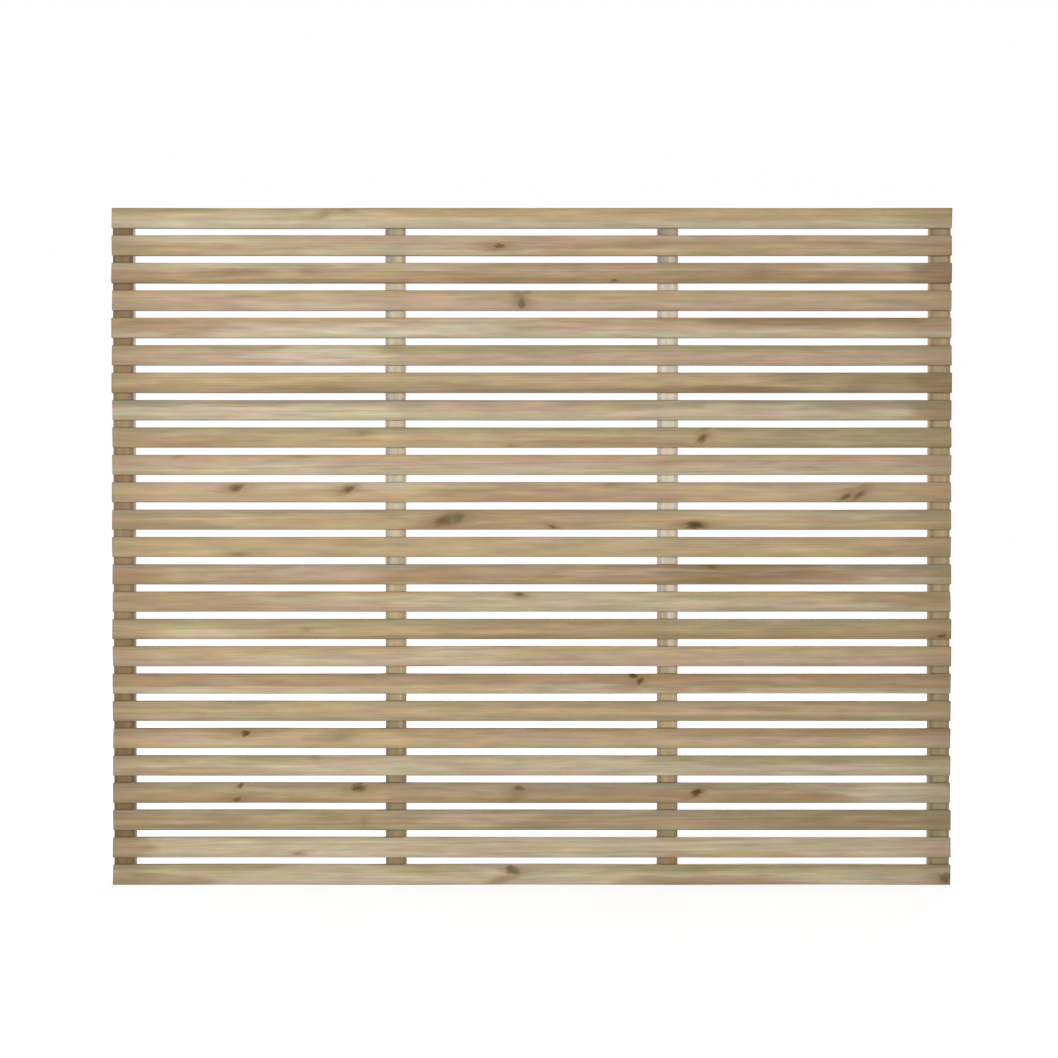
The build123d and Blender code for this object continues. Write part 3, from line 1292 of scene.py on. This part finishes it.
def build_batten(node, number, nails):
    """One batten, with a blind hole for each nail and its finish."""
    shape = bpy.context.scene.fence_boards
    chance = Random(BATTEN_DRAWS + number)
    low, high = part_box(node)
    board = rounded_board(low, high, UP, shape.batten_edge, shape.rim)
    own_nails = [nail for slat in SLATS for nail in nails[slat, node]]
    sides = [side for nail in own_nails for side in (nail.wire_low, nail.wire_high)]
    cut_board(board, ACROSS, {round(side.x, CUT_DIGITS) for side in sides})
    cut_board(board, UP, {side.z for side in sides})
    for nail in own_nails:
        wire_low = Vector((nail.wire_low.x, low.y, nail.wire_low.z))
        wire_high = Vector((nail.wire_high.x, low.y, nail.wire_high.z))
        depth = nail.wire_high.y + shape.nail_room - low.y
        sink_faces(board, faces_within(board, wire_low, wire_high), depth)
    timber = BATTEN_TIMBERS[number]
    patches = BATTEN_PATCHES[number]
    material = timber_finish(node + "_wood", batten_board(node), timber, patches, [], chance)
    finish_piece(board, "planed_" + node, node, material)


# Stage

# The floor: half its width, how far under the panel it lies, how many faces it has each way, what it
# reflects, and between which distances from the panel its glow goes from near to far
FLOOR_REACH = 30.0
FLOOR_DROP = 0.0005
FLOOR_FACES = 4
FLOOR_GREY = (0.5, 0.5, 0.5, 1.0)
SHADOW_REACH = (1.2, 4.0)
WHITE = (1.0, 1.0, 1.0, 1.0)

# The lamps: where each stands and how wide it is, in metres, and the setting that holds its power
Lamp = namedtuple("Lamp", "name place width power")

LAMPS = [
    Lamp("key_lamp", (-2.2, -4.4, 0.7), 2.0, "key_watts"),
    Lamp("fill_lamp", (0.6, -5.0, 0.6), 3.0, "fill_watts"),
    Lamp("back_lamp", (1.5, 4.5, 2.2), 3.0, "back_watts"),
    Lamp("left_lamp", (-4.5, 0.5, 1.6), 2.0, "side_watts"),
    Lamp("right_lamp", (4.5, 0.5, 1.6), 2.0, "side_watts"),
]


def seen_directly(wiring):
    """1 for rays from the camera and those that mirror or pass through, 0 for the light on the object."""
    path = wiring.node("ShaderNodeLightPath").outputs
    clear = wiring.math("MAXIMUM", path["Is Glossy Ray"], path["Is Transmission Ray"])
    return wiring.math("MAXIMUM", path["Is Camera Ray"], clear)


def floor_finish(near_glow, far_glow):
    """Plain pale floor that shows white, and a little less where the panel shades it."""
    material, wiring = new_material("pale_floor")
    matt = wiring.node("ShaderNodeBsdfDiffuse", {"Color": FLOOR_GREY})
    place = wiring.node("ShaderNodeTexCoord").outputs["Object"]
    glow = wiring.fade(wiring.distance(place), *SHADOW_REACH, near_glow, far_glow)
    shown = wiring.math("MULTIPLY", seen_directly(wiring), glow)
    shine = wiring.node("ShaderNodeEmission", {"Strength": shown})
    both = wiring.node("ShaderNodeAddShader", [matt.outputs[0], shine.outputs[0]])
    wiring.node("ShaderNodeOutputMaterial", {"Surface": both.outputs[0]})
    return material


def add_floor(stage):
    """A wide floor just under the panel."""
    floor = bmesh.new()
    bmesh.ops.create_grid(floor, x_segments=FLOOR_FACES, y_segments=FLOOR_FACES, size=FLOOR_REACH)
    bmesh.ops.translate(floor, vec=(0.0, 0.0, -FLOOR_DROP), verts=floor.verts)
    mesh = bpy.data.meshes.new("floor")
    floor.to_mesh(mesh)
    floor.free()
    mesh.materials.append(floor_finish(stage.near_glow, stage.far_glow))
    obj = bpy.data.objects.new("floor", mesh)
    bpy.context.scene.collection.objects.link(obj)


def add_lamp(lamp, watts):
    """A square soft lamp that faces the panel's middle."""
    light = bpy.data.lights.new(lamp.name, "AREA")
    light.size = lamp.width
    light.energy = watts
    obj = bpy.data.objects.new(lamp.name, light)
    obj.location = lamp.place
    low, high = CAD_BOX
    aim = (low + high) / 2 - Vector(lamp.place)
    obj.rotation_euler = aim.to_track_quat("-Z", "Y").to_euler()
    bpy.context.scene.collection.objects.link(obj)


def set_world(ambient):
    """White all round to the eye, with an even ambient light on the object."""
    world = bpy.data.worlds.new("white_surround")
    bpy.context.scene.world = world
    world.use_nodes = True
    world.node_tree.nodes.clear()
    wiring = Wiring(world.node_tree)
    light = wiring.node("ShaderNodeBackground", {"Color": WHITE, "Strength": ambient})
    shown = wiring.node("ShaderNodeBackground", {"Color": WHITE, "Strength": 1.0})
    both = wiring.node("ShaderNodeMixShader", [seen_directly(wiring), light.outputs[0], shown.outputs[0]])
    wiring.node("ShaderNodeOutputWorld", {"Surface": both.outputs[0]})


def add_camera(stage):
    """The camera, straight in front of the panel."""
    camera = bpy.data.cameras.new("camera")
    camera.lens = stage.lens
    obj = bpy.data.objects.new("camera", camera)
    obj.location = stage.camera_place
    obj.rotation_euler = (radians(90) - stage.camera_dip, 0.0, 0.0)
    bpy.context.scene.collection.objects.link(obj)
    bpy.context.scene.camera = obj


# Operators, panel and registration


class FENCE_OT_add_slats(bpy.types.Operator):
    """Model every slat and finish its timber"""

    bl_idname = "fence.add_slats"
    bl_label = "Add Slats"

    def execute(self, context):
        nails = find_nails()
        for number, node in enumerate(SLATS, start=1):
            build_slat(node, number, nails)
        return {"FINISHED"}


class FENCE_OT_add_battens(bpy.types.Operator):
    """Model every batten and finish its timber"""

    bl_idname = "fence.add_battens"
    bl_label = "Add Battens"

    def execute(self, context):
        nails = find_nails()
        for number, node in enumerate(BATTENS):
            build_batten(node, number, nails)
        return {"FINISHED"}


class FENCE_OT_plate_nails(bpy.types.Operator):
    """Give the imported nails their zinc"""

    bl_idname = "fence.plate_nails"
    bl_label = "Plate Nails"

    def execute(self, context):
        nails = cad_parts[NAILS]
        nails.data.materials.clear()
        nails.data.materials.append(zinc_finish())
        return {"FINISHED"}


class FENCE_OT_set_stage(bpy.types.Operator):
    """Set up the floor, the white surround, the lamps and the camera"""

    bl_idname = "fence.set_stage"
    bl_label = "Set Stage"

    def execute(self, context):
        stage = context.scene.fence_stage
        context.scene.view_settings.view_transform = "Standard"
        add_floor(stage)
        set_world(stage.ambient)
        for lamp in LAMPS:
            add_lamp(lamp, getattr(stage, lamp.power))
        add_camera(stage)
        return {"FINISHED"}


class FENCE_PT_panel(bpy.types.Panel):
    """Lists the steps that make the fence panel, with their sizes and colours"""

    bl_label = "Slatted Fence Panel"
    bl_space_type = "VIEW_3D"
    bl_region_type = "UI"
    bl_category = "Fence"

    def draw(self, context):
        scene = context.scene
        for step in STEPS:
            self.layout.operator(step.bl_idname)
        for name in SETTINGS:
            box = self.layout.box()
            settings = getattr(scene, name)
            for prop in settings.__annotations__:
                box.prop(settings, prop)


STEPS = (FENCE_OT_add_slats, FENCE_OT_add_battens, FENCE_OT_plate_nails, FENCE_OT_set_stage)
SETTINGS = {
    "fence_colours": FenceColours,
    "fence_grain": FenceGrain,
    "fence_boards": FenceBoards,
    "fence_stage": FenceStage,
}


def register():
    """Adds the settings, the steps and the panel to Blender."""
    for name, settings in SETTINGS.items():
        bpy.utils.register_class(settings)
        setattr(bpy.types.Scene, name, PointerProperty(type=settings))
    for step in STEPS:
        bpy.utils.register_class(step)
    bpy.utils.register_class(FENCE_PT_panel)


def unregister():
    """Takes them away again."""
    bpy.utils.unregister_class(FENCE_PT_panel)
    for step in reversed(STEPS):
        bpy.utils.unregister_class(step)
    for name, settings in reversed(SETTINGS.items()):
        delattr(bpy.types.Scene, name)
        bpy.utils.unregister_class(settings)


def main():
    """Makes the whole panel and its stage."""
    register()
    bpy.ops.fence.add_slats()
    bpy.ops.fence.add_battens()
    bpy.ops.fence.plate_nails()
    bpy.ops.fence.set_stage()


if __name__ == "__main__":
    main()
